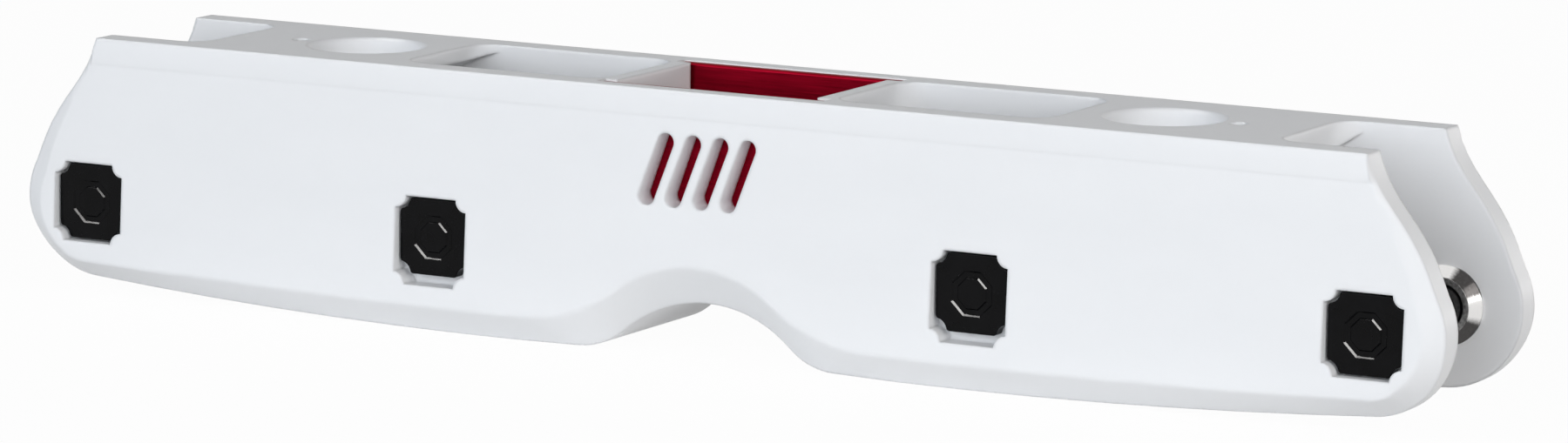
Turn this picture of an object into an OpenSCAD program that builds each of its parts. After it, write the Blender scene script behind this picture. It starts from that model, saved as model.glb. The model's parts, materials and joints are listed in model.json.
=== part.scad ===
/* [Frame] */
// Distance between the two mounting bolts
mount_pitch = 165; // [160:0.5:168]
// Distance between the two middle axles
middle_pitch = 110.8; // [106:0.2:116]
// Distance from a middle axle to the end axle beside it
end_pitch = 75.4; // [72:0.2:79]
// Height of the top face above the axles
axle_drop = 31.2; // [29:0.2:34]
// Length of the top face
top_len = 260; // [252:1:266]
// Width of the top face
top_w = 39.2; // [38:0.2:43]
// Outward lean of each side face, in degrees
face_draft = 3.2; // [0:0.2:6]
// Gap between the two side walls
wheel_gap = 28.6; // [27.6:0.2:30]

/* [Side outline] */
// Radius of the rounded end around each end axle
lobe_r = 14.6; // [13.5:0.1:17]
// How far the belly hangs below the rounded ends
belly = 3.3; // [1.5:0.1:5]
// Distance from the middle to the lowest point of the belly
belly_x = 48; // [42:1:56]
// Height of the grind arch above the lowest point
arch_h = 10.2; // [7:0.2:12]
// Radius of the crown of the grind arch
arch_r = 26; // [22:1:32]
// Radius where the arch runs out into the belly
arch_toe_r = 14; // [8:1:20]
// Width of the bevel around the rounded ends
bevel_w = 4.4; // [3:0.1:5]
// Height of the bevel along the belly
bevel_h = 6.1; // [4:0.1:7.5]
// Height of the bevel above the crown of the arch
arch_bevel_h = 8.2; // [6:0.2:9]
// How far the bevel cuts in under the belly
bevel_in = 2.2; // [0.6:0.1:2.6]
// How much further the bevel cuts in under the arch
arch_bevel_in = 1.6; // [0:0.1:1.8]
// Depth of the rolled lip below the top edge
lip_h = 5.2; // [4:0.1:8]
// How far the rolled lip stands out of the side face
lip_out = 0.35; // [0.1:0.05:0.6]
// How far the sloping ends sway in and out between the top corner and the rounded end
end_sway = 0.7; // [0:0.1:1]

/* [Top openings] */
// Radius of each mounting recess
recess_r = 10.6; // [10:0.1:11.6]
// Depth of each mounting recess
recess_depth = 3.6; // [2.5:0.1:4]
// Radius of each mounting bolt hole
bolt_r = 4.2; // [3.2:0.1:4.5]
// Chamfer around each mounting recess
recess_chamfer = 0.6; // [0.2:0.1:0.8]
// Distance from the middle to the start of each end notch
notch_x = 110.2; // [106:0.2:114]
// Distance from the middle to the near end of each wheel pocket
pocket_x0 = 23.6; // [22.8:0.2:26]
// Distance from the middle to the far end of each wheel pocket
pocket_x1 = 66.2; // [62:0.2:68]
// Corner radius of the pockets and notches
pocket_r = 5; // [3:0.5:7]
// Length of the middle opening
core_len = 41; // [36:0.5:42]
// Radius of each locating dimple beside the mounting recesses
dimple_r = 1.6; // [1:0.1:2]

/* [Core plates] */
// Thickness of each core plate
plate_t = 2; // [1.5:0.1:2.5]
// Length of each core plate
plate_len = 46.4; // [44:0.2:46.6]
// Depth of a plate's top edge below the top face
plate_drop = 0.2; // [0.2:0.1:1.5]
// Height of the middle block's floor
core_floor = 17.5; // [15.5:0.5:20]
// Number of vent slots in each side wall
vent_count = 4; // [2:1:5]
// Distance between vent slots
vent_pitch = 5.6; // [5:0.1:6]
// Width of each vent slot
vent_w = 3.4; // [2:0.1:3.6]
// Height of each vent slot
vent_h = 14; // [8:0.5:16]
// Lean of the vent slots, in degrees
vent_lean = 20; // [0:1:25]

/* [Axles] */
// Width of the square axle heads and washers
head_w = 14.2; // [13:0.1:15]
// Thickness of the axle heads and washers
head_t = 2.4; // [2.2:0.1:2.6]
// Depth of a head's face below the side wall
head_sink = 1.3; // [0.6:0.1:1.6]
// Radius of the notch in each corner of a head
head_notch_r = 2.2; // [1.2:0.1:2.6]
// Clearance around a head in its pocket
head_gap = 0.4; // [0.2:0.05:0.6]
// Extra height below the heads in the middle pockets
pocket_extra = 1.4; // [0:0.1:2]
// Diameter of the axle barrels
axle_d = 8; // [7.5:0.1:8.4]
// Diameter of the thread in the axle barrels
thread_d = 6; // [5:0.1:6]
// Distance from the end of a barrel to the washer
barrel_short = 1; // [0.5:0.1:1.6]
// Length of the screws below their heads
screw_len = 12; // [9:0.5:14]

/* [Bushings] */
// Distance between the faces of two facing bushings
hub_gap = 24.2; // [24:0.1:25]
// Diameter of the bushing cone at the wall
cone_d = 14.4; // [13.4:0.1:15]
// Diameter of the bushing face
cone_face_d = 11; // [10.2:0.1:12]
// Diameter of the part of a bushing inside the wall
spigot_d = 11.4; // [10.4:0.1:11.8]

/* [Hidden] */
$fn = 96;
WHITE = "#eceef2";
RED = "#b0101f";
BLACK = "#16171a";
STEEL = "#b9bcc2";
AXLES = [1, 2, 3, 4];
SIDES = ["head", "screw"];
fit = 0.04;
eps = 0.01;
skim = 0.1;
over = 20;
vent_lift = 8;
end_steps = 10;
shoulder_in = 0.4;
lip_step = 0.55;
plate_bite = 0.9;
plate_play = 0.8;
thread_runout = 1.5;
bulkhead_lift = 5;
block_pocket_depth = 13;
notch_depth = 11.2;
head_rim = 0.6;
head_taper = 1.1;
dish_depth = 0.5;
dimple_gap = 3.8;
dimple_depth = 1.2;
washer_play = 0.2;
axle_x = [-1, -1, 1, 1];
middle_x = middle_pitch / 2;
end_x = middle_x + end_pitch;
axle_z = lobe_r + belly;
top_z = axle_z + axle_drop;
half_top = top_w / 2;
half_gap = wheel_gap / 2;
lean = tan(face_draft);
crease_z = top_z - lip_h;
ridge_z = top_z - lip_h * 0.35;
pocket_floor_y = face_y(axle_z) - head_sink - head_t;
washer_y = pocket_floor_y + head_t;
plate_y0 = half_gap - plate_bite;
plate_slot = plate_t + plate_play;
well_end_r = 33.5;
well_middle_r = 30.5;
bulkhead_z = axle_z + bulkhead_lift;
spotface_r = 8;
bolt_web = 5;
socket_af = 4;
screw_head_r = 5.1;
screw_head_t = 1.5;
thread_deep = screw_len + thread_runout;
// Corner x, corner z, end radius, belly height, arch height, arch radius and toe radius of a ring
EDGE = [top_len / 2, top_z, lobe_r, 0, arch_h, arch_r, arch_toe_r];
SHOULDER = [top_len / 2 + lip_h * 0.06, ridge_z, lobe_r - bevel_w * 0.74,
    bevel_h * 0.78, arch_h + arch_bevel_h * 0.83, arch_r, arch_toe_r * 2.2];
FACE = [top_len / 2 + lip_h * 0.16, crease_z, lobe_r - bevel_w, bevel_h,
    arch_h + arch_bevel_h, arch_r, arch_toe_r * 2.6];

// Half width of the leaning side face at a height
function face_y(z) = half_top + lip_step + lean * (crease_z - z);

// Centre of an axle along the frame
function axle_at(i) = axle_x[i - 1] * (i == 1 || i == 4 ? end_x : middle_x);

function is_middle(i) = i == 2 || i == 3;

function smooth(t) = let (u = max(0, min(1, t))) u * u * (3 - 2 * u);

// Points along an arc, without its first one
function arc(c, r, a0, a1, n) = [for (k = [1:n]) let (a = a0 + (a1 - a0) * k / n) c + r * [cos(a), sin(a)]];

// The lower meeting point of two circles
function circles_meet(c0, r0, c1, r1) =
    let (
        d = norm(c1 - c0),
        u = (c1 - c0) / d,
        a = (r0 * r0 - r1 * r1 + d * d) / (2 * d),
        h = sqrt(max(0, r0 * r0 - a * a))
    )
    c0 + a * u + h * [u[1], -u[0]];

// Swaying line down a sloping end, in below the corner and out above the rounded end
function end_line(from, to) =
    let (u = (to - from) / norm(to - from))
    [for (k = [0:end_steps]) let (t = k / end_steps)
        from + (to - from) * t + end_sway * sin(360 * pow(t, 0.85)) * [u[1], -u[0]]];

// Right half of a side outline, from its top corner round the end and the belly to the crown of the arch
function half_outline(ring) =
    let (
        corner = [ring[0], ring[1]],
        r = ring[2],
        low = ring[3],
        axle = [end_x, axle_z],
        rise = axle_z - low,
        belly_r = (pow(end_x - belly_x, 2) + rise * rise - r * r) / (2 * (rise - r)),
        belly_c = [belly_x, low + belly_r],
        arch_c = [0, ring[4] - ring[5]],
        toe_c = circles_meet(arch_c, ring[5] + ring[6], belly_c, belly_r - ring[6]),
        out = corner - axle,
        a_end = atan2(out[1], out[0]) - acos(r / norm(out)),
        a_low = atan2(axle_z - belly_c[1], end_x - belly_x),
        a_toe = atan2(toe_c[1] - belly_c[1], toe_c[0] - belly_c[0]),
        a_arch = atan2(toe_c[1] - arch_c[1], toe_c[0])
    )
    concat(
        end_line(corner, axle + r * [cos(a_end), sin(a_end)]),
        arc(axle, r, a_end, a_low, 22),
        arc(belly_c, belly_r, a_low, a_toe, 8),
        arc(toe_c, ring[6], a_toe, a_arch - 180, 9),
        arc(arch_c, ring[5], a_arch, 90, 9)
    );

// Half width of the lower edge, which the bevel draws in under the belly and the arch
function edge_y(p) =
    let (under = p[0] < middle_x ? 1 : (axle_z - p[1]) / lobe_r)
    half_top - bevel_in * smooth(under) - arch_bevel_in * smooth(1 - p[0] / (belly_x * 0.8));

// How far the shoulder stands out of the face, from the lip down a sloping end
function shoulder_out(k) = lip_out - (lip_out + shoulder_in) * min(1, k / end_steps);

// The three rings of one side, from the edge to the face, as points on the right half
function ring_half(ring, level) =
    let (pts = half_outline(ring))
    [for (k = [0:len(pts) - 1]) let (p = pts[k])
        [p[0], level == 0 ? edge_y(p) : face_y(p[1]) + (level == 2 ? skim : shoulder_out(k)), p[1]]];

function ring_full(half, side) =
    let (n = len(half))
    concat(
        [for (p = half) [p[0], side * p[1], p[2]]],
        [for (k = [n - 2:-1:0]) [-half[k][0], side * half[k][1], half[k][2]]]
    );

// Solid between the two side faces, before anything is cut from it
module side_loft() {
    halves = [ring_half(FACE, 2), ring_half(SHOULDER, 1), ring_half(EDGE, 0)];
    rings = concat(
        [for (k = [0:2]) ring_full(halves[k], -1)],
        [for (k = [2:-1:0]) ring_full(halves[k], 1)]
    );
    n = len(rings[0]);
    last = len(rings) - 1;
    polyhedron(
        points = [for (ring = rings) for (p = ring) p],
        faces = concat(
            [[for (i = [0:n - 1]) i]],
            [for (k = [0:last - 1]) for (i = [0:n - 1])
                [k * n + i, (k + 1) * n + i, (k + 1) * n + (i + 1) % n]],
            [for (k = [0:last - 1]) for (i = [0:n - 1])
                [k * n + i, (k + 1) * n + (i + 1) % n, k * n + (i + 1) % n]],
            [[for (i = [n - 1:-1:0]) last * n + i]]
        )
    );
}

// Skims both side faces flat below the lip
module face_skim() {
    high = crease_z + 0.3;
    for (s = [0, 1])
        mirror([0, s, 0])
            rotate([90, 0, 90])
                linear_extrude(2 * top_len, center = true)
                    polygon([
                        [face_y(-over), -over],
                        [face_y(high), high],
                        [face_y(high) + over, high + over / 2],
                        [face_y(-over) + over, -over]
                    ]);
}

// Flat shape with round corners, between two corners
module rounded_rect(x0, x1, half_h, r) {
    for (x = [x0 + r, x1 - r])
        for (y = [r - half_h, half_h - r])
            translate([x, y])
                circle(r);
    translate([x0 + r, -half_h])
        square([x1 - x0 - 2 * r, 2 * half_h]);
    translate([x0, r - half_h])
        square([x1 - x0, 2 * (half_h - r)]);
}

// Prism along Y across the middle plane, from a flat shape drawn in X and Z
module across(depth) {
    rotate([90, 0, 0])
        linear_extrude(depth, center = true)
            children();
}

// Square with a round notch in each corner
module notched_square(w, drop, notch_r) {
    difference() {
        translate([-w / 2, -w / 2 - drop])
            square([w, w + drop]);
        for (x = [-1, 1], z = [-w / 2 - drop, w / 2])
            translate([x * w / 2, z])
                circle(notch_r, $fn = 32);
    }
}

// Space that the wheels run in, open below and at both ends
module wheel_space() {
    for (s = [-1, 1]) {
        across(wheel_gap)
            union() {
                translate([s * end_x, axle_z])
                    circle(well_end_r);
                translate([s * middle_x, axle_z])
                    circle(well_middle_r);
                translate([s > 0 ? middle_x - well_middle_r : -end_x - over, -over])
                    square([end_x + over - middle_x + well_middle_r, over + axle_z]);
                translate([s > 0 ? middle_x : -end_x, 0])
                    square([end_pitch, bulkhead_z]);
                translate([s > 0 ? end_x : -end_x - over, 0])
                    square([over, top_z + over]);
            }
        mirror([s > 0 ? 0 : 1, 0, 0]) {
            translate([0, 0, top_z - block_pocket_depth])
                linear_extrude(over)
                    rounded_rect(pocket_x0, pocket_x1, half_gap, pocket_r);
            translate([0, 0, top_z - notch_depth])
                linear_extrude(over + axle_drop)
                    rounded_rect(notch_x, end_x + over, half_gap, pocket_r);
        }
    }
}

// Bolt hole, recess and spot face of one mounting point
module mount_cut() {
    cylinder(h = 3 * over, r = bolt_r);
    translate([0, 0, top_z - recess_depth])
        cylinder(h = over, r = recess_r);
    translate([0, 0, top_z - recess_chamfer])
        cylinder(h = recess_chamfer + eps, r1 = recess_r, r2 = recess_r + recess_chamfer + eps);
    translate([0, 0, -over])
        cylinder(h = over + top_z - recess_depth - bolt_web, r = spotface_r);
}

// Middle opening and the grooves that hold the core plates
module core_cut() {
    translate([-core_len / 2, -plate_y0 - eps, core_floor])
        cube([core_len, 2 * (plate_y0 + eps), over + top_z]);
    for (s = [-1, 1])
        translate([-plate_len / 2 - 0.1, s > 0 ? plate_y0 : -plate_y0 - plate_slot, core_floor])
            cube([plate_len + 0.2, plate_slot, over + top_z]);
}

// Row of leaning slots through both side walls
module vent_cut() {
    mid_z = (core_floor + vent_lift + crease_z) / 2;
    across(3 * top_w)
        for (k = [0:vent_count - 1])
            translate([(k - (vent_count - 1) / 2) * vent_pitch, mid_z])
                rotate(-vent_lean)
                    union() {
                        square([vent_w, vent_h - vent_w], center = true);
                        for (s = [-1, 1])
                            translate([0, s * (vent_h - vent_w) / 2])
                                circle(vent_w / 2);
                    }
}

// Bores and head pockets of one axle, in both side walls
module axle_cut(i) {
    translate([axle_at(i), 0, axle_z]) {
        rotate([90, 0, 0])
            cylinder(h = 4 * top_w, r = spigot_d / 2 + fit, center = true);
        for (s = [-1, 1])
            translate([0, s * (pocket_floor_y + over / 2), 0])
                across(over)
                    notched_square(head_w + 2 * head_gap, is_middle(i) ? pocket_extra : 0, head_notch_r);
    }
}

module frame_body() {
    color(WHITE)
        difference() {
            difference() {
                side_loft();
                face_skim();
            }
            wheel_space();
            for (s = [-1, 1])
                translate([s * mount_pitch / 2, 0, 0])
                    mount_cut();
            core_cut();
            vent_cut();
            for (i = AXLES)
                axle_cut(i);
            for (s = [-1, 1])
                translate([s * (mount_pitch / 2 + recess_r + dimple_gap), 0, top_z - dimple_depth])
                    cylinder(h = over, r = dimple_r);
        }
}

// Core plate standing in its grooves against a side wall
module core_plate(side) {
    s = side == "head" ? -1 : 1;
    h = top_z - plate_drop - core_floor;
    color(RED)
        translate([0, s * (plate_y0 + plate_slot - 0.05 - plate_t / 2), core_floor + h / 2])
            across(plate_t)
                difference() {
                    square([plate_len, h], center = true);
                    for (x = [-1, 1])
                        translate([x * plate_len / 2, -h / 2])
                            rotate(45)
                                square(2.4, center = true);
                }
}

// Rounds the outer rim of a head or washer with a stepped chamfer
module head_plate() {
    linear_extrude(head_t - head_rim)
        notched_square(head_w, 0, head_notch_r);
    translate([0, 0, head_t - head_rim - eps])
        linear_extrude(head_rim + eps, scale = (head_w - head_taper) / head_w)
            notched_square(head_w, 0, head_notch_r);
}

// Barrel with its square head at the head side and a thread at the other end
module axle(i) {
    tip = pocket_floor_y - barrel_short;
    color(BLACK)
        translate([axle_at(i), 0, axle_z])
            difference() {
                union() {
                    translate([0, -pocket_floor_y, 0])
                        rotate([90, 0, 0])
                            head_plate();
                    translate([0, tip, 0])
                        rotate([90, 0, 0])
                            cylinder(h = tip + pocket_floor_y + eps, r = axle_d / 2);
                }
                translate([0, tip + eps, 0])
                    rotate([90, 0, 0])
                        cylinder(h = thread_deep, r = thread_d / 2 + fit);
                translate([0, -pocket_floor_y - head_t - eps, 0])
                    rotate([-90, 0, 0])
                        cylinder(h = dish_depth, r = head_w * 0.31, $fn = 8);
            }
}

// Notched cup washer that takes the screw's head
module axle_washer(i) {
    color(BLACK)
        translate([axle_at(i), pocket_floor_y, axle_z])
            rotate([-90, 0, 0])
                difference() {
                    head_plate();
                    translate([0, 0, -eps])
                        cylinder(h = head_t + 1, r = thread_d / 2 + washer_play);
                    translate([0, 0, head_t - screw_head_t])
                        cylinder(h = head_t, r = screw_head_r + fit);
                }
}

// Low-head socket screw in the end of a barrel
module axle_screw(i) {
    color(STEEL)
        translate([axle_at(i), washer_y, axle_z])
            rotate([90, 0, 0])
                difference() {
                    union() {
                        cylinder(h = screw_head_t, r = screw_head_r);
                        cylinder(h = screw_head_t + screw_len, r = thread_d / 2);
                    }
                    translate([0, 0, -eps])
                        cylinder(h = 1.9, r = socket_af / sqrt(3), $fn = 6);
                }
}

// Steel bushing with a cone inside the wheel gap and a spigot through the wall
module bushing(i, side) {
    s = side == "head" ? -1 : 1;
    deep = pocket_floor_y - half_gap;
    lip = half_gap - hub_gap / 2;
    bore = axle_d / 2 + fit;
    color(STEEL)
        translate([axle_at(i), s * half_gap, axle_z])
            rotate([s * 90, 0, 0])
                rotate_extrude()
                    polygon([
                        [bore, -deep + 0.05],
                        [spigot_d / 2, -deep + 0.05],
                        [spigot_d / 2, 0],
                        [cone_d / 2, 0],
                        [cone_d / 2, lip * 0.2],
                        [cone_face_d / 2, lip],
                        [bore, lip]
                    ]);
}

frame_body();
for (s = SIDES)
    core_plate(s);
for (i = AXLES) {
    axle(i);
    axle_washer(i);
    axle_screw(i);
    for (s = SIDES)
        bushing(i, s);
}
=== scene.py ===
"""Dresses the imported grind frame: moulded body, red core plates, black axles, screws and bushings."""

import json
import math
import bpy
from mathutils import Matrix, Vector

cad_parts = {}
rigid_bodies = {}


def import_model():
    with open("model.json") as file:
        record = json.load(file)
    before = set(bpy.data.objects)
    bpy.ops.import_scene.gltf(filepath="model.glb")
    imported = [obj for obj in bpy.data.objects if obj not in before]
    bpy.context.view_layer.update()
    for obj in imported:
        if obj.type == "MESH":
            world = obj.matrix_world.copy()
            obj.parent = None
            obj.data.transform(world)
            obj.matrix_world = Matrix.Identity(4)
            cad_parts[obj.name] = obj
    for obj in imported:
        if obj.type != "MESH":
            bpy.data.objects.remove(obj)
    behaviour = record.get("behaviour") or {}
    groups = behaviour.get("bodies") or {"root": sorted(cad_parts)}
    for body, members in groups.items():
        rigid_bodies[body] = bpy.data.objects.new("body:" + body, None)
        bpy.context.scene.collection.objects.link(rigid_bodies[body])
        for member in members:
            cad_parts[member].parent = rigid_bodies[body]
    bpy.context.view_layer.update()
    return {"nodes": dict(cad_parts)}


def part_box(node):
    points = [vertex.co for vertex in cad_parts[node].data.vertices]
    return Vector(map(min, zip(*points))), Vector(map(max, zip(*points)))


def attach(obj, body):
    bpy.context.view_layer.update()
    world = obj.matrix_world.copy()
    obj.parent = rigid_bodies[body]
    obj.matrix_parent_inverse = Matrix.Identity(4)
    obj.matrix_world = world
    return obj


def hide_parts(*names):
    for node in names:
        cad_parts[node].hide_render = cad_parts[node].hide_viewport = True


bl_info = {
    "name": "Inline Skate Frame",
    "version": (1, 0, 0),
    "blender": (4, 5, 0),
    "location": "View3D > Sidebar > Skate Frame",
    "description": "Finishes a grind frame with its core plates, axles, screws and bushings, and lights it",
    "category": "Object",
}

import bmesh
import bpy
from mathutils import Matrix, Vector

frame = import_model()
AXLES = (1, 2, 3, 4)
SIDES = ("head", "screw")

# How close corners are merged, and the angles past which faces stay apart, edges are cut and shading breaks
WELD = 2e-6
FLAT = math.radians(0.04)
CUT_FROM = math.radians(28)
SMOOTH = math.radians(30.7)
# Steps of a rounded edge, of a scooped corner, of a full turn and of one turn of the thread
EDGE_STEPS = 3
SCOOP_STEPS = 7
TURN_STEPS = 48
THREAD_STEPS = 28
# How much the large faces outweigh the small ones in the shading
FACE_WEIGHT = 60

# Small sizes of the finish, in metres
FIT = 0.00004
LIP_BAND = 0.0007
DISH_DEPTH = 0.00032
ISLAND_RISE = 0.00027
CENTRE_MARK = 0.0005
TIP_CHAMFER = 0.0004
MOUTH_CHAMFER = 0.0003
THREAD_DEPTH = 0.0133
DRILL_POINT = 0.0016
WASHER_PLAY = 0.00024
CUP_CHAMFER = 0.0002
SCREW_CHAMFER = 0.0003
SOCKET_DEPTH = 0.0024
SOCKET_POINT = 0.0006
THREAD_HEIGHT = 0.0005
THREAD_SINK = 0.0002
THREAD_START = 0.0004
THREAD_END = 0.0006
BUSHING_CHAMFER = 0.00025
NOSE_STEP = 0.0001
# How far inside the nose radius the faced end starts and ends to give way to the cone
FACE_RIM = (0.0003, 0.0001)
# Sides of a head's dish, and its reach and the width of its channel as shares of the head's width
DISH_SIDES = 8
DISH_SHARE = 0.31
CHANNEL_SHARE = 0.09
# Start and end of the thread's crest and end of its falling flank, as shares of one pitch
CREST_START = 0.42
CREST_END = 0.52
FLANK_END = 0.94
# The values between which most of a noise pattern lies
NOISE_LOW = 0.3
NOISE_HIGH = 0.7

# The photograph's camera: its place, its axes, the width of its sensor in millimetres and how near it sees
CAMERA_AT = (0.592009, -1.079811, 0.226784)
CAMERA_RIGHT = (0.878164, 0.478213, 0.011873)
CAMERA_UP = (-0.088331, 0.137714, 0.986525)
CAMERA_BACK = (0.470134, -0.867380, 0.163177)
SENSOR_WIDTH = 36.0
NEAREST = 0.01
# The slightly cool white of the front panels, the neutral white of the others, and the backdrop's white
COOL = (0.915, 0.955, 1.0)
NEUTRAL = (1.0, 0.985, 0.97)
WHITE = (1, 1, 1, 1)
EVEN_WHITE = (0.99, 0.995, 1, 1)
FLOOR_WHITE = (0.88, 0.87, 0.855, 1)
# Half the floor's width, and the share of pure white in it where it is seen
FLOOR_REACH = 12.0
WHITE_SHARE = 0.97
# The point that the panels face, and each panel's power setting, size, place and colour
AIM = Vector((0.0, 0.0, 0.025))
PANELS = (
    ("front_panel", "key", (2.6, 1.0), (-0.45, -1.42, 0.64), COOL),
    ("side_panel", "side", (0.9, 0.7), (1.05, -1.05, 0.5), NEUTRAL),
    ("low_panel", "low", (2.4, 0.22), (0.3, -1.5, 0.13), COOL),
    ("back_panel", "back", (1.6, 0.22), (0.9, 1.3, 0.12), NEUTRAL),
    ("right_panel", "fill", (0.8, 0.8), (1.25, -0.45, 0.6), NEUTRAL),
)
# The thin bars that glint on the heads: their size, and each one's place and turn
BAR_SIZE = (0.62, 0.14)
BARS = (
    ("left_bar", (-0.48, -0.20, 0.86), math.radians(0)),
    ("right_bar", (0.50, -0.48, 0.86), math.radians(24)),
)


class SkateBodySettings(bpy.types.PropertyGroup):
    """Sizes and colours of the moulded body."""

    edge_radius: bpy.props.FloatProperty(
        name="Edge radius", description="Rounding of the moulded edges",
        default=0.0011, unit="LENGTH", precision=5,
    )
    lip_line: bpy.props.FloatProperty(
        name="Lip line", description="Height of the soft line under the lip",
        default=0.0440, unit="LENGTH", precision=5,
    )
    colour: bpy.props.FloatVectorProperty(
        name="Colour", description="Colour of the moulded plastic",
        subtype="COLOR", default=(0.885, 0.893, 0.908),
    )
    shade: bpy.props.FloatVectorProperty(
        name="Flow colour", description="Colour of the cloudy flow marks",
        subtype="COLOR", default=(0.868, 0.877, 0.893),
    )
    roughness: bpy.props.FloatProperty(
        name="Roughness", description="Middle roughness of the plastic",
        subtype="FACTOR", min=0.0, max=1.0, default=0.36,
    )


class SkatePlateSettings(bpy.types.PropertyGroup):
    """Sizes and colours of the core plates."""

    edge_radius: bpy.props.FloatProperty(
        name="Edge radius", description="Rounding of the plate edges",
        default=0.0005, unit="LENGTH", precision=5,
    )
    colour: bpy.props.FloatVectorProperty(
        name="Colour", description="Colour of the dyed metal",
        subtype="COLOR", default=(0.29, 0.003, 0.016),
    )
    streak: bpy.props.FloatVectorProperty(
        name="Brush colour", description="Colour of the brush lines",
        subtype="COLOR", default=(0.19, 0.0015, 0.01),
    )


class SkateAxleSettings(bpy.types.PropertyGroup):
    """Sizes and colours of the axles, washers, screws and bushings."""

    head_width: bpy.props.FloatProperty(
        name="Head width", description="Width of a head or washer",
        default=0.0142, unit="LENGTH", precision=5,
    )
    head_thickness: bpy.props.FloatProperty(
        name="Head thickness", description="Thickness of a head or washer",
        default=0.0024, unit="LENGTH", precision=5,
    )
    scallop_radius: bpy.props.FloatProperty(
        name="Scallop radius", description="Radius of the scooped corners",
        default=0.0022, unit="LENGTH", precision=5,
    )
    edge_radius: bpy.props.FloatProperty(
        name="Edge radius", description="Rounding of the head edges",
        default=0.0006, unit="LENGTH", precision=5,
    )
    barrel_radius: bpy.props.FloatProperty(
        name="Barrel radius", description="Radius of an axle's barrel",
        default=0.004, unit="LENGTH", precision=5,
    )
    cup_radius: bpy.props.FloatProperty(
        name="Cup radius", description="Radius of a washer's counterbore",
        default=0.00514, unit="LENGTH", precision=5,
    )
    cup_depth: bpy.props.FloatProperty(
        name="Cup depth", description="Depth of a washer's counterbore",
        default=0.0015, unit="LENGTH", precision=5,
    )
    socket_width: bpy.props.FloatProperty(
        name="Socket width", description="Width across a screw's socket",
        default=0.004, unit="LENGTH", precision=5,
    )
    thread_radius: bpy.props.FloatProperty(
        name="Thread radius", description="Outer radius of a screw's thread",
        default=0.00296, unit="LENGTH", precision=5,
    )
    thread_pitch: bpy.props.FloatProperty(
        name="Thread pitch", description="Rise of the thread in one turn",
        default=0.001, unit="LENGTH", precision=5,
    )
    bushing_wall: bpy.props.FloatProperty(
        name="Bushing wall", description="Length of a bushing inside the wall",
        default=0.00355, unit="LENGTH", precision=5,
    )
    spigot_radius: bpy.props.FloatProperty(
        name="Spigot radius", description="Radius of a bushing inside the wall",
        default=0.0057, unit="LENGTH", precision=5,
    )
    cone_height: bpy.props.FloatProperty(
        name="Cone height", description="Height of a bushing's cone",
        default=0.00176, unit="LENGTH", precision=5,
    )
    nose_radius: bpy.props.FloatProperty(
        name="Nose radius", description="Radius of a bushing's face",
        default=0.0055, unit="LENGTH", precision=5,
    )
    black: bpy.props.FloatVectorProperty(
        name="Black", description="Colour of the black finish",
        subtype="COLOR", default=(0.002, 0.002, 0.0023),
    )
    # The bright end of the bushings' painted sheen: the steel colour where painted fans stand in for
    # reflected light
    steel: bpy.props.FloatVectorProperty(
        name="Steel", description="Colour of the bushing steel",
        subtype="COLOR", default=(0.76, 0.75, 0.74),
    )
    # Painted shade: the dark reflection painted into the bushing steel between its painted fans of sheen
    steel_painted_shade: bpy.props.FloatVectorProperty(
        name="Steel shade", description="Colour of the steel between its fans",
        subtype="COLOR", default=(0.06, 0.057, 0.056),
    )
    screw: bpy.props.FloatVectorProperty(
        name="Screw steel", description="Colour of the screw steel",
        subtype="COLOR", default=(0.34, 0.345, 0.355),
    )


class SkateStageSettings(bpy.types.PropertyGroup):
    """Camera and light of the studio."""

    lens: bpy.props.FloatProperty(
        name="Lens", description="Focal length",
        default=157.447, unit="CAMERA",
    )
    ambient: bpy.props.FloatProperty(
        name="Ambient", description="Strength of the even light",
        default=0.08,
    )
    key: bpy.props.FloatProperty(
        name="Key", description="Power of the front light",
        default=17.3, unit="POWER",
    )
    low: bpy.props.FloatProperty(
        name="Low", description="Power of the low front light",
        default=3.3, unit="POWER",
    )
    fill: bpy.props.FloatProperty(
        name="Fill", description="Power of the right fill light",
        default=5.6, unit="POWER",
    )
    side: bpy.props.FloatProperty(
        name="Side", description="Power of the right front light",
        default=3.2, unit="POWER",
    )
    back: bpy.props.FloatProperty(
        name="Back", description="Power of the back light",
        default=5.0, unit="POWER",
    )
    glow: bpy.props.FloatProperty(
        name="Glow", description="Strength of the lit floor",
        default=0.01,
    )
    glint: bpy.props.FloatProperty(
        name="Glint", description="Power of each thin bar of reflected light",
        default=22.0, unit="POWER",
    )


def settings(name):
    """The scene's settings of one kind."""
    return getattr(bpy.context.scene, "skate_" + name)


# Materials


def empty_tree(owner):
    """The node tree of a material or a world, without its nodes."""
    owner.use_nodes = True
    owner.node_tree.nodes.clear()
    return owner.node_tree


def blank_material(name):
    """A material of that name with a principled shader and its object coordinates."""
    material = bpy.data.materials.new(name)
    tree = empty_tree(material)
    output = tree.nodes.new("ShaderNodeOutputMaterial")
    shader = tree.nodes.new("ShaderNodeBsdfPrincipled")
    tree.links.new(shader.outputs["BSDF"], output.inputs["Surface"])
    place = tree.nodes.new("ShaderNodeTexCoord").outputs["Object"]
    return material, tree, shader, place


def mapped(tree, place, scale=(1.0, 1.0, 1.0), shift=(0.0, 0.0, 0.0)):
    """Object coordinates stretched or moved by a Mapping node."""
    mapping = tree.nodes.new("ShaderNodeMapping")
    mapping.inputs["Scale"].default_value = scale
    mapping.inputs["Location"].default_value = shift
    tree.links.new(place, mapping.inputs["Vector"])
    return mapping.outputs["Vector"]


def noise(tree, place, scale, detail=2.0, roughness=0.5):
    """A noise pattern's factor."""
    texture = tree.nodes.new("ShaderNodeTexNoise")
    texture.inputs["Scale"].default_value = scale
    texture.inputs["Detail"].default_value = detail
    texture.inputs["Roughness"].default_value = roughness
    tree.links.new(place, texture.inputs["Vector"])
    return texture.outputs["Fac"]


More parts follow.
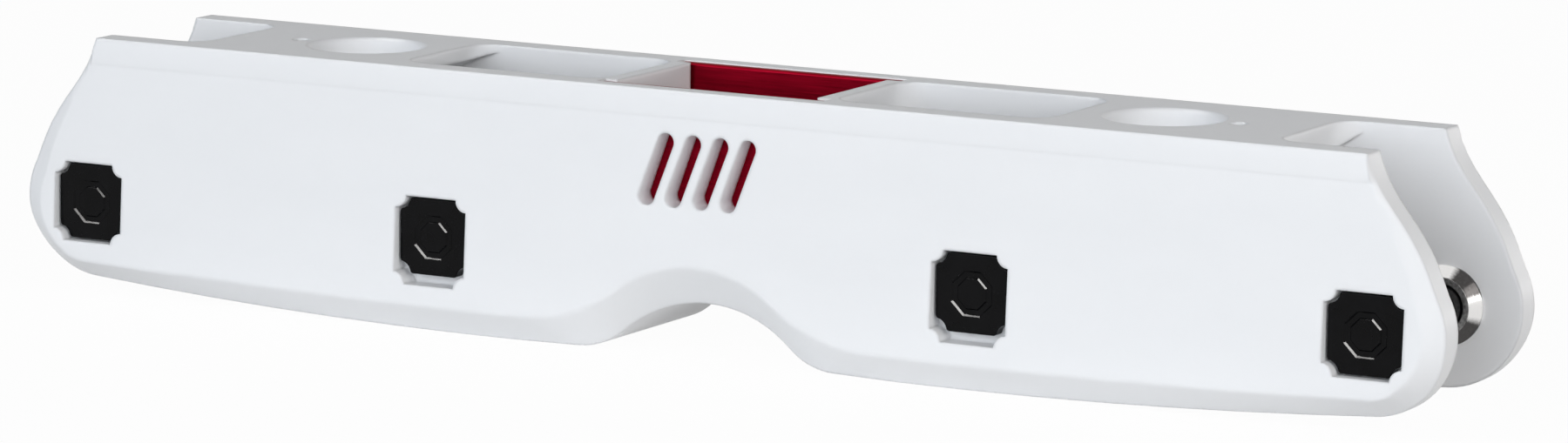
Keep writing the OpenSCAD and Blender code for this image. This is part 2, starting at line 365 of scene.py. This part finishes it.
def spread(tree, value, low, high, start=NOISE_LOW, end=NOISE_HIGH):
    """A value mapped from start..end to low..high."""
    ranged = tree.nodes.new("ShaderNodeMapRange")
    for socket, number in (("From Min", start), ("From Max", end), ("To Min", low), ("To Max", high)):
        ranged.inputs[socket].default_value = number
    tree.links.new(value, ranged.inputs["Value"])
    return ranged.outputs["Result"]


def two_tone(tree, value, first, second):
    """A colour between two, by a noise pattern's factor or a like value."""
    ramp = tree.nodes.new("ShaderNodeValToRGB")
    for stop, position, colour in zip(ramp.color_ramp.elements, (NOISE_LOW, NOISE_HIGH), (first, second)):
        stop.position = position
        stop.color = (*colour, 1)
    tree.links.new(value, ramp.inputs["Fac"])
    return ramp.outputs["Color"]


def bump(tree, shader, height, strength, distance):
    """A bump of that distance in metres on the shader."""
    node = tree.nodes.new("ShaderNodeBump")
    node.inputs["Strength"].default_value = strength
    node.inputs["Distance"].default_value = distance
    tree.links.new(height, node.inputs["Height"])
    tree.links.new(node.outputs["Normal"], shader.inputs["Normal"])
    return node


def arithmetic(tree, operation, *values):
    """The result of a Math node on sockets."""
    node = tree.nodes.new("ShaderNodeMath")
    node.operation = operation
    for socket, value in zip(node.inputs, values):
        tree.links.new(value, socket)
    return node.outputs["Value"]


def moulded_plastic():
    """Satin white moulded nylon with cloudy flow marks and a fine spark-eroded grain."""
    body = settings("body")
    material, tree, shader, place = blank_material("moulded_white")
    cloud = noise(tree, mapped(tree, place, scale=(0.5, 1.0, 1.4)), scale=55, detail=3)
    tree.links.new(two_tone(tree, cloud, body.shade, body.colour), shader.inputs["Base Color"])
    grain = noise(tree, place, scale=2600, roughness=0.6)
    gloss = spread(tree, grain, low=body.roughness - 0.06, high=body.roughness + 0.08)
    tree.links.new(gloss, shader.inputs["Roughness"])
    shader.inputs["Specular IOR Level"].default_value = 0.14
    rounded = tree.nodes.new("ShaderNodeBevel")
    rounded.samples = 6
    rounded.inputs["Radius"].default_value = body.edge_radius
    relief = bump(tree, shader, grain, strength=0.15, distance=0.00005)
    tree.links.new(rounded.outputs["Normal"], relief.inputs["Normal"])
    return material


def dyed_metal():
    """Brushed aluminium dyed deep red, with lines along the frame."""
    plate = settings("plate")
    material, tree, shader, place = blank_material("dyed_red")
    lines = noise(tree, mapped(tree, place, scale=(0.03, 1.0, 1.0)), scale=3200, detail=3, roughness=0.65)
    tree.links.new(two_tone(tree, lines, plate.streak, plate.colour), shader.inputs["Base Color"])
    tree.links.new(spread(tree, lines, low=0.30, high=0.46), shader.inputs["Roughness"])
    shader.inputs["Metallic"].default_value = 0.75
    shader.inputs["Specular IOR Level"].default_value = 0.2
    shader.inputs["Specular Tint"].default_value = (*plate.colour, 1)
    bump(tree, shader, lines, strength=0.25, distance=0.00004)
    return material


def black_enamel():
    """Gloss black finish over steel, with a faint orange peel and paler clouds."""
    black = settings("axle").black
    material, tree, shader, place = blank_material("black_gloss")
    cloud = noise(tree, place, scale=240, detail=3)
    tree.links.new(two_tone(tree, cloud, black, [c * 1.8 for c in black]), shader.inputs["Base Color"])
    peel = noise(tree, place, scale=900)
    tree.links.new(spread(tree, peel, low=0.09, high=0.15), shader.inputs["Roughness"])
    shader.inputs["Specular IOR Level"].default_value = 0.09
    bump(tree, shader, peel, strength=0.06, distance=0.00004)
    return material


def lathe_rings(tree, shader, place, scale):
    """The fine rings of a lathe as a factor, with their relief on the shader."""
    lines = noise(tree, mapped(tree, place, scale=(1.0, 14.0, 1.0)), scale, detail=3, roughness=0.6)
    bump(tree, shader, lines, strength=0.12, distance=0.00003)
    return lines


def satin_steel():
    """Satin screw steel with the fine rings of a lathe."""
    colour = settings("axle").screw
    material, tree, shader, place = blank_material("turned_satin")
    lines = lathe_rings(tree, shader, place, scale=900)
    tree.links.new(two_tone(tree, lines, [c * 0.82 for c in colour], colour), shader.inputs["Base Color"])
    tree.links.new(spread(tree, lines, low=0.28, high=0.45), shader.inputs["Roughness"])
    shader.inputs["Metallic"].default_value = 1.0
    return material


def painted_sheen_fans(tree, place):
    """Four fans of painted sheen around the Y axis, from 0 to 1, and the distance from it."""
    parts = tree.nodes.new("ShaderNodeSeparateXYZ")
    tree.links.new(place, parts.inputs["Vector"])
    along, up = (arithmetic(tree, "MULTIPLY", parts.outputs[axis], parts.outputs[axis]) for axis in "XZ")
    reach = arithmetic(tree, "ADD", along, up)
    fan = arithmetic(tree, "DIVIDE", arithmetic(tree, "SUBTRACT", along, up), reach)
    return arithmetic(tree, "MULTIPLY", fan, fan), arithmetic(tree, "SQRT", reach)


def steel_with_painted_sheen(name, at):
    """Turned steel around one axle's line: painted fans of sheen on the cone with painted dark reflection
    between them, and a duller, rougher face painted a mid tone.
    """
    axle = settings("axle")
    material, tree, shader, place = blank_material(name)
    lines = lathe_rings(tree, shader, place, scale=1500)
    # Painted reflection: fans of sheen painted into the colour around the axle's line
    fans, radius = painted_sheen_fans(tree, mapped(tree, place, shift=-at))
    rim_start, rim_end = (axle.nose_radius - inside for inside in FACE_RIM)
    cone = spread(tree, radius, low=0.0, high=1.0, start=rim_start, end=rim_end)
    cone_painted_fans = arithmetic(tree, "MULTIPLY", fans, cone)
    # Painted highlight on the cone where the fans are bright, painted shade between them
    sheen = spread(tree, cone_painted_fans, low=0.25, high=0.75, start=0.4, end=0.85)
    # The faced end gets a painted mid tone in place of its reflection
    face_painted_sheen = spread(tree, cone, low=0.2, high=0.0, start=0.0, end=1.0)
    for part in (spread(tree, lines, low=-0.1, high=0.1), face_painted_sheen):
        sheen = arithmetic(tree, "ADD", sheen, part)
    # Colour from the painted sheen: bright steel where it is painted bright, the steel's painted shade
    # between
    tree.links.new(two_tone(tree, sheen, axle.steel_painted_shade, axle.steel), shader.inputs["Base Color"])
    face_rough = spread(tree, cone, low=0.42, high=0.1, start=0.0, end=1.0)
    rough = arithmetic(tree, "ADD", spread(tree, lines, low=0.0, high=0.06), face_rough)
    tree.links.new(rough, shader.inputs["Roughness"])
    shader.inputs["Metallic"].default_value = 1.0
    return material


# Meshes


def merged_copy(node):
    """A node's solid as a clean bmesh: corners merged and flat faces made whole."""
    bm = bmesh.new()
    bm.from_mesh(frame["nodes"][node].data)
    bmesh.ops.remove_doubles(bm, verts=bm.verts, dist=WELD)
    bmesh.ops.dissolve_limit(
        bm,
        angle_limit=FLAT,
        use_dissolve_boundaries=False,
        verts=bm.verts,
        edges=bm.edges,
        delimit={"NORMAL"},
    )
    return bm


def sharp_edges(bm, angle):
    """The edges whose faces turn by more than an angle."""
    return [e for e in bm.edges if len(e.link_faces) == 2 and e.calc_face_angle(0.0) > angle]


def rounded_edges(bm, edges, radius):
    """Rounds some edges of a bmesh."""
    bmesh.ops.bevel(
        bm,
        geom=edges,
        offset=radius,
        offset_type="OFFSET",
        affect="EDGES",
        segments=EDGE_STEPS,
        profile=0.5,
        material=-1,
        clamp_overlap=True,
    )


def add_piece(name, bm, material, body, node, soft=()):
    """Makes a bmesh an object at the origin that rides on a body and stands for a CAD node."""
    for face in bm.faces:
        face.smooth = True
    for edge in sharp_edges(bm, SMOOTH):
        edge.smooth = edge in soft
    mesh = bpy.data.meshes.new(name)
    bm.to_mesh(mesh)
    bm.free()
    mesh.materials.append(material)
    piece = bpy.data.objects.new(name, mesh)
    bpy.context.scene.collection.objects.link(piece)
    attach(piece, body)
    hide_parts(node)
    weighted = piece.modifiers.new("face_weights", "WEIGHTED_NORMAL")
    weighted.keep_sharp = True
    weighted.weight = FACE_WEIGHT


class SKATE_OT_body(bpy.types.Operator):
    """Make the moulded body, whose edges are rounded in its finish"""

    bl_idname = "skate.body"
    bl_label = "Moulded Body"

    def execute(self, context):
        bm = merged_copy("frame_body")
        soft = {e for e in bm.edges if not e.is_convex and self.under_lip(e)}
        add_piece("moulded_body", bm, moulded_plastic(), "frame", "frame_body", soft)
        return {"FINISHED"}

    def under_lip(self, edge):
        """Whether an edge runs along the soft line under the lip."""
        line = settings("body").lip_line
        return all(abs(v.co.z - line) < LIP_BAND for v in edge.verts)


class SKATE_OT_plates(bpy.types.Operator):
    """Make the red core plates with broken edges"""

    bl_idname = "skate.plates"
    bl_label = "Core Plates"

    def execute(self, context):
        radius = settings("plate").edge_radius
        material = dyed_metal()
        for side in SIDES:
            node = f"core_plate_{side}_side"
            bm = merged_copy(node)
            rounded_edges(bm, sharp_edges(bm, CUT_FROM), radius)
            add_piece(f"dyed_plate_{side}", bm, material, "frame", node)
        return {"FINISHED"}


def scooped_square(bm, centre):
    """A closed ring of edges: a head's square outline with each corner scooped out and softened."""
    axle = settings("axle")
    half, scoop = axle.head_width / 2, axle.scallop_radius
    ends = []
    for sx, sz in ((1, 1), (-1, 1), (-1, -1), (1, -1)):
        corner = centre + Vector((sx * half, 0, sz * half))
        first = corner - Vector((0, 0, sz * scoop)) if sx * sz > 0 else corner - Vector((sx * scoop, 0, 0))
        start = bm.verts.new(first)
        made = bmesh.ops.spin(
            bm,
            geom=[start],
            cent=corner,
            axis=(0, 1, 0),
            angle=math.pi / 2,
            steps=SCOOP_STEPS,
            use_duplicate=False,
        )
        last = next(v for v in made["geom_last"] if isinstance(v, bmesh.types.BMVert))
        ends.append((start, last))
    for (start, last), (following, _) in zip(ends, ends[1:] + ends[:1]):
        bm.edges.new((last, following))
    bmesh.ops.bevel(
        bm,
        geom=[corner for pair in ends for corner in pair],
        offset=axle.edge_radius,
        offset_type="OFFSET",
        affect="VERTICES",
        segments=EDGE_STEPS,
        profile=0.5,
        material=-1,
    )
    return list(bm.edges)


def at_level(element, level):
    """Whether all of an edge's or a face's corners are at one Y."""
    return all(abs(v.co.y - level) < WELD for v in element.verts)


def scooped_plate(at, back, front):
    """A closed plate around a line along Y, with scooped corners and its front rim rounded."""
    bm = bmesh.new()
    ring = scooped_square(bm, at + Vector((0, back, 0)))
    base = bmesh.ops.contextual_create(bm, geom=ring)["faces"]
    raised = bmesh.ops.extrude_face_region(bm, geom=base, use_keep_orig=True)["geom"]
    verts = [v for v in raised if isinstance(v, bmesh.types.BMVert)]
    bmesh.ops.translate(bm, verts=verts, vec=(0, front - back, 0))
    bmesh.ops.recalc_face_normals(bm, faces=bm.faces)
    rounded_edges(bm, [e for e in bm.edges if at_level(e, front)], settings("axle").edge_radius)
    return bm


def lathe(bm, at, profile, steps=TURN_STEPS, turn=0.0):
    """Turns (radius, y) points around a line along Y."""
    out = Vector((math.cos(turn), 0, math.sin(turn)))
    verts = [bm.verts.new(at + out * r + Vector((0, y, 0))) for r, y in profile]
    edges = [bm.edges.new(pair) for pair in zip(verts, verts[1:])]
    bmesh.ops.spin(
        bm,
        geom=verts + edges,
        cent=at,
        axis=(0, 1, 0),
        angle=math.tau,
        steps=steps,
        use_merge=True,
        use_duplicate=False,
    )
    bmesh.ops.remove_doubles(bm, verts=bm.verts, dist=WELD)


def open_plate(bm, level):
    """Takes away the flat face at one Y, which leaves its rim open."""
    caps = [f for f in bm.faces if at_level(f, level)]
    bmesh.ops.delete(bm, geom=[max(caps, key=lambda f: f.calc_area())], context="FACES_ONLY")


def close_flat(bm, level):
    """Fills the flat space between the open rings at one Y."""
    rings = [e for e in bm.edges if e.is_boundary and at_level(e, level)]
    bmesh.ops.triangle_fill(bm, edges=rings, use_beauty=True, use_dissolve=False)


def middle_line(node):
    """A node's box, and the point where the line along Y through its middle meets Y = 0."""
    low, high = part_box(node)
    return low, high, Vector(((low.x + high.x) / 2, 0, (low.z + high.z) / 2))


class SKATE_OT_axles(bpy.types.Operator):
    """Make the black axles and cup washers with scooped square heads"""

    bl_idname = "skate.axles"
    bl_label = "Axles And Washers"

    def execute(self, context):
        material = black_enamel()
        for i in AXLES:
            axle, washer = f"axle_{i}", f"axle_washer_{i}"
            bm = self.axle(axle)
            add_piece(f"black_axle_{i}", bm, material, f"axle_{i}_body", axle)
            bm = self.washer(washer)
            add_piece(f"black_washer_{i}", bm, material, f"washer_{i}_body", washer)
        return {"FINISHED"}

    def axle(self, node):
        """Barrel with a threaded end, and a head whose face has an eight-sided dish around an island."""
        axle = settings("axle")
        low, high, at = middle_line(node)
        back = low.y + axle.head_thickness
        bm = scooped_plate(at, back, low.y)
        open_plate(bm, low.y)
        self.dish(bm, at, low.y)
        close_flat(bm, low.y)
        open_plate(bm, back)
        barrel, bore = axle.barrel_radius, axle.thread_radius + 2 * FIT
        lathe(
            bm,
            at,
            [
                (barrel, back),
                (barrel, high.y - TIP_CHAMFER),
                (barrel - TIP_CHAMFER, high.y),
                (bore + MOUTH_CHAMFER, high.y),
                (bore, high.y - MOUTH_CHAMFER),
                (bore, high.y - THREAD_DEPTH),
                (0.0, high.y - THREAD_DEPTH - DRILL_POINT),
            ],
        )
        close_flat(bm, back)
        bmesh.ops.recalc_face_normals(bm, faces=bm.faces)
        return bm

    def dish(self, bm, at, face):
        """Eight-sided dish in a head's face, with a channel around a low island that has a centre mark."""
        width = settings("axle").head_width
        rim = width * DISH_SHARE
        island = rim - width * CHANNEL_SHARE
        floor = face + DISH_DEPTH
        crown = floor - ISLAND_RISE
        lathe(
            bm,
            at,
            [
                (rim, face),
                (rim - DISH_DEPTH, floor),
                (island, floor),
                (island - ISLAND_RISE, crown),
                (CENTRE_MARK, crown),
                (0.0, floor),
            ],
            steps=DISH_SIDES,
            turn=math.pi / DISH_SIDES,
        )

    def washer(self, node):
        """Scooped square cup with a counterbore for a screw's head."""
        axle = settings("axle")
        low, high, at = middle_line(node)
        bm = scooped_plate(at, low.y, high.y)
        open_plate(bm, high.y)
        open_plate(bm, low.y)
        cup, hole = axle.cup_radius, axle.thread_radius + WASHER_PLAY
        seat = high.y - axle.cup_depth
        lathe(
            bm,
            at,
            [
                (hole, low.y),
                (hole, seat),
                (cup, seat),
                (cup, high.y - CUP_CHAMFER),
                (cup + CUP_CHAMFER, high.y),
            ],
        )
        close_flat(bm, high.y)
        close_flat(bm, low.y)
        bmesh.ops.recalc_face_normals(bm, faces=bm.faces)
        return bm


class SKATE_OT_screws(bpy.types.Operator):
    """Make the socket screws with cut threads"""

    bl_idname = "skate.screws"
    bl_label = "Socket Screws"

    def execute(self, context):
        satin = satin_steel()
        for i in AXLES:
            node = f"axle_screw_{i}"
            add_piece(f"socket_screw_{i}", self.screw(node), satin, f"screw_{i}_body", node)
        return {"FINISHED"}

    def screw(self, node):
        """Low head with a six-sided socket, and a shank with a helical thread."""
        axle = settings("axle")
        low, high, at = middle_line(node)
        root = axle.thread_radius - THREAD_HEIGHT
        head, under = axle.cup_radius - FIT, high.y - axle.cup_depth
        bm = bmesh.new()
        lathe(
            bm,
            at,
            [
                (head - SCREW_CHAMFER, high.y),
                (head, high.y - SCREW_CHAMFER),
                (head, under),
                (root, under),
                (root, low.y + SCREW_CHAMFER),
                (root - SCREW_CHAMFER, low.y),
                (0.0, low.y),
            ],
        )
        socket, floor = axle.socket_width / math.sqrt(3), high.y - SOCKET_DEPTH
        lathe(bm, at, [(socket, high.y), (socket, floor), (0.0, floor - SOCKET_POINT)], steps=6)
        close_flat(bm, high.y)
        self.thread(bm, at, root, low.y + THREAD_START, under - THREAD_END)
        bmesh.ops.recalc_face_normals(bm, faces=bm.faces)
        return bm

    def thread(self, bm, at, root, start, end):
        """A closed helical ridge along the shank."""
        axle = settings("axle")
        pitch, crest, sunk = axle.thread_pitch, axle.thread_radius, root - THREAD_SINK
        steps = int((end - start - pitch) / pitch * THREAD_STEPS)
        section = [(sunk, 0.0), (crest, CREST_START), (crest, CREST_END), (sunk, FLANK_END)]
        corners = [bm.verts.new(at + Vector((r, start + pitch * share, 0))) for r, share in section]
        face = bm.faces.new(corners)
        bmesh.ops.spin(
            bm,
            geom=[face, *face.edges, *face.verts],
            cent=at,
            axis=(0, 1, 0),
            dvec=(0, pitch / THREAD_STEPS, 0),
            angle=math.tau * steps / THREAD_STEPS,
            steps=steps,
            use_duplicate=False,
        )


class SKATE_OT_bushings(bpy.types.Operator):
    """Turn the steel bushings with broken edges"""

    bl_idname = "skate.bushings"
    bl_label = "Bushings"

    def execute(self, context):
        for i in AXLES:
            # Each axle's bushings get their own steel with painted sheen, centred on that axle
            sheen_painted_steel = steel_with_painted_sheen(f"turned_bright_{i}", middle_line(f"axle_{i}")[2])
            for side in SIDES:
                node = f"bushing_{i}_{side}_side"
                bm = self.bushing(node)
                add_piece(f"turned_bushing_{i}_{side}", bm, sheen_painted_steel, "frame", node)
        return {"FINISHED"}

    def bushing(self, node):
        """Spigot in the wall, cone in the wheel gap, and a bore with broken edges."""
        axle = settings("axle")
        low, high, at = middle_line(node)
        inward = -1.0 if low.y > 0 else 1.0
        wall, face = (high.y, low.y) if inward < 0 else (low.y, high.y)
        shoulder = wall + inward * axle.bushing_wall
        edge, edge_in = BUSHING_CHAMFER, inward * BUSHING_CHAMFER
        cone, nose, spigot = (high.x - low.x) / 2, axle.nose_radius, axle.spigot_radius
        bore = axle.barrel_radius + FIT
        bm = bmesh.new()
        lathe(
            bm,
            at,
            [
                (bore, wall),
                (spigot - edge, wall),
                (spigot, wall + edge_in),
                (spigot, shoulder),
                (cone, shoulder),
                (cone, face - inward * axle.cone_height),
                (nose + NOSE_STEP, face - edge_in),
                (nose - edge, face),
                (bore + edge, face),
                (bore, face - edge_in),
                (bore, wall),
            ],
        )
        bmesh.ops.recalc_face_normals(bm, faces=bm.faces)
        return bm


# Stage


def backdrop_rays(tree):
    """1 for the rays that show the white backdrop: to the camera, in reflections and through glass."""
    path = tree.nodes.new("ShaderNodeLightPath")
    seen = path.outputs["Is Camera Ray"]
    for ray in ("Is Glossy Ray", "Is Transmission Ray"):
        seen = arithmetic(tree, "MAXIMUM", seen, path.outputs[ray])
    return seen


def mixed(tree, share, first, second):
    """A mix of two shaders, by the share of the second."""
    mix = tree.nodes.new("ShaderNodeMixShader")
    for socket, value in zip(mix.inputs, (share, first, second)):
        tree.links.new(value, socket)
    return mix.outputs["Shader"]


class SKATE_OT_stage(bpy.types.Operator):
    """Set up the floor, the soft lights and the camera"""

    bl_idname = "skate.stage"
    bl_label = "Studio Stage"

    def execute(self, context):
        stage = settings("stage")
        scene = context.scene
        self.floor(scene, stage)
        self.world(scene, stage)
        for name, power, size, place, colour in PANELS:
            self.light(scene, name, getattr(stage, power), size, place, colour)
        self.glint_bars(scene, stage)
        self.camera(scene, stage)
        scene.view_settings.view_transform = "Standard"
        return {"FINISHED"}

    def floor(self, scene, stage):
        """A wide floor under the frame."""
        bm = bmesh.new()
        bmesh.ops.create_grid(bm, x_segments=1, y_segments=1, size=FLOOR_REACH)
        mesh = bpy.data.meshes.new("studio_floor")
        bm.to_mesh(mesh)
        bm.free()
        mesh.materials.append(self.floor_finish(stage))
        floor = bpy.data.objects.new("studio_floor", mesh)
        scene.collection.objects.link(floor)

    def floor_finish(self, stage):
        """Pale lit floor that reads white to the camera and keeps a soft shadow."""
        material = bpy.data.materials.new("pale_floor")
        tree = empty_tree(material)
        output = tree.nodes.new("ShaderNodeOutputMaterial")
        pale = tree.nodes.new("ShaderNodeBsdfDiffuse")
        pale.inputs["Color"].default_value = FLOOR_WHITE
        white = tree.nodes.new("ShaderNodeEmission")
        white.inputs["Color"].default_value = WHITE
        share = spread(tree, backdrop_rays(tree), low=stage.glow, high=WHITE_SHARE, start=0.0, end=1.0)
        lit = mixed(tree, share, pale.outputs["BSDF"], white.outputs["Emission"])
        tree.links.new(lit, output.inputs["Surface"])
        return material

    def world(self, scene, stage):
        """Even light, with a white backdrop for the camera, reflections and glass."""
        scene.world = bpy.data.worlds.new("studio_world")
        tree = empty_tree(scene.world)
        output = tree.nodes.new("ShaderNodeOutputWorld")
        even = tree.nodes.new("ShaderNodeBackground")
        even.inputs["Color"].default_value = EVEN_WHITE
        even.inputs["Strength"].default_value = stage.ambient
        white = tree.nodes.new("ShaderNodeBackground")
        white.inputs["Color"].default_value = WHITE
        both = mixed(tree, backdrop_rays(tree), even.outputs["Background"], white.outputs["Background"])
        tree.links.new(both, output.inputs["Surface"])

    def light(self, scene, name, power, size, place, colour):
        """A soft panel of light that faces the middle of the frame."""
        data = bpy.data.lights.new(name, "AREA")
        data.shape = "RECTANGLE"
        data.energy = power
        data.size, data.size_y = size
        data.color = colour
        lamp = bpy.data.objects.new(name, data)
        lamp.location = place
        lamp.rotation_euler = (AIM - Vector(place)).to_track_quat("-Z", "Y").to_euler()
        scene.collection.objects.link(lamp)
        return lamp

    def glint_bars(self, scene, stage):
        """Thin bars overhead that shine straight down and glint on the black and the moulded pieces alone."""
        shiny = bpy.data.collections.new("glint_receivers")
        for piece in scene.objects:
            if piece.name.startswith(("black_", "moulded_")):
                shiny.objects.link(piece)
        for name, place, turn in BARS:
            bar = self.light(scene, name, stage.glint, BAR_SIZE, place, NEUTRAL)
            bar.rotation_euler = (0, 0, turn)
            bar.visible_diffuse = False
            bar.light_linking.receiver_collection = shiny

    def camera(self, scene, stage):
        """The photograph's camera."""
        data = bpy.data.cameras.new("photo_camera")
        data.sensor_fit = "HORIZONTAL"
        data.sensor_width = SENSOR_WIDTH
        data.lens = stage.lens
        data.clip_start = NEAREST
        camera = bpy.data.objects.new("photo_camera", data)
        axes = Matrix((CAMERA_RIGHT, CAMERA_UP, CAMERA_BACK)).transposed().to_4x4()
        camera.matrix_world = Matrix.Translation(CAMERA_AT) @ axes
        scene.collection.objects.link(camera)
        scene.camera = camera


class SKATE_PT_panel(bpy.types.Panel):
    """Lists the pieces and their settings."""

    bl_idname = "SKATE_PT_panel"
    bl_label = "Skate Frame"
    bl_space_type = "VIEW_3D"
    bl_region_type = "UI"
    bl_category = "Skate Frame"

    def draw(self, context):
        layout = self.layout
        for group, operators in GROUPS:
            box = layout.box()
            data = settings(group)
            for name in data.bl_rna.properties.keys():
                if name not in ("rna_type", "name"):
                    box.prop(data, name)
            for operator in operators:
                box.operator(operator)


GROUPS = (
    ("body", ("skate.body",)),
    ("plate", ("skate.plates",)),
    ("axle", ("skate.axles", "skate.screws", "skate.bushings")),
    ("stage", ("skate.stage",)),
)
SETTINGS = {
    "body": SkateBodySettings,
    "plate": SkatePlateSettings,
    "axle": SkateAxleSettings,
    "stage": SkateStageSettings,
}
CLASSES = (
    *SETTINGS.values(),
    SKATE_OT_body,
    SKATE_OT_plates,
    SKATE_OT_axles,
    SKATE_OT_screws,
    SKATE_OT_bushings,
    SKATE_OT_stage,
    SKATE_PT_panel,
)


def register():
    """Registers the classes and hangs the settings on the scene."""
    for cls in CLASSES:
        bpy.utils.register_class(cls)
    for name, cls in SETTINGS.items():
        setattr(bpy.types.Scene, "skate_" + name, bpy.props.PointerProperty(type=cls))


def unregister():
    """Takes the settings and the classes away."""
    for name in SETTINGS:
        delattr(bpy.types.Scene, "skate_" + name)
    for cls in reversed(CLASSES):
        bpy.utils.unregister_class(cls)


def main():
    """Builds every piece and the stage."""
    register()
    bpy.ops.skate.body()
    bpy.ops.skate.plates()
    bpy.ops.skate.axles()
    bpy.ops.skate.screws()
    bpy.ops.skate.bushings()
    bpy.ops.skate.stage()


if __name__ == "__main__":
    main()
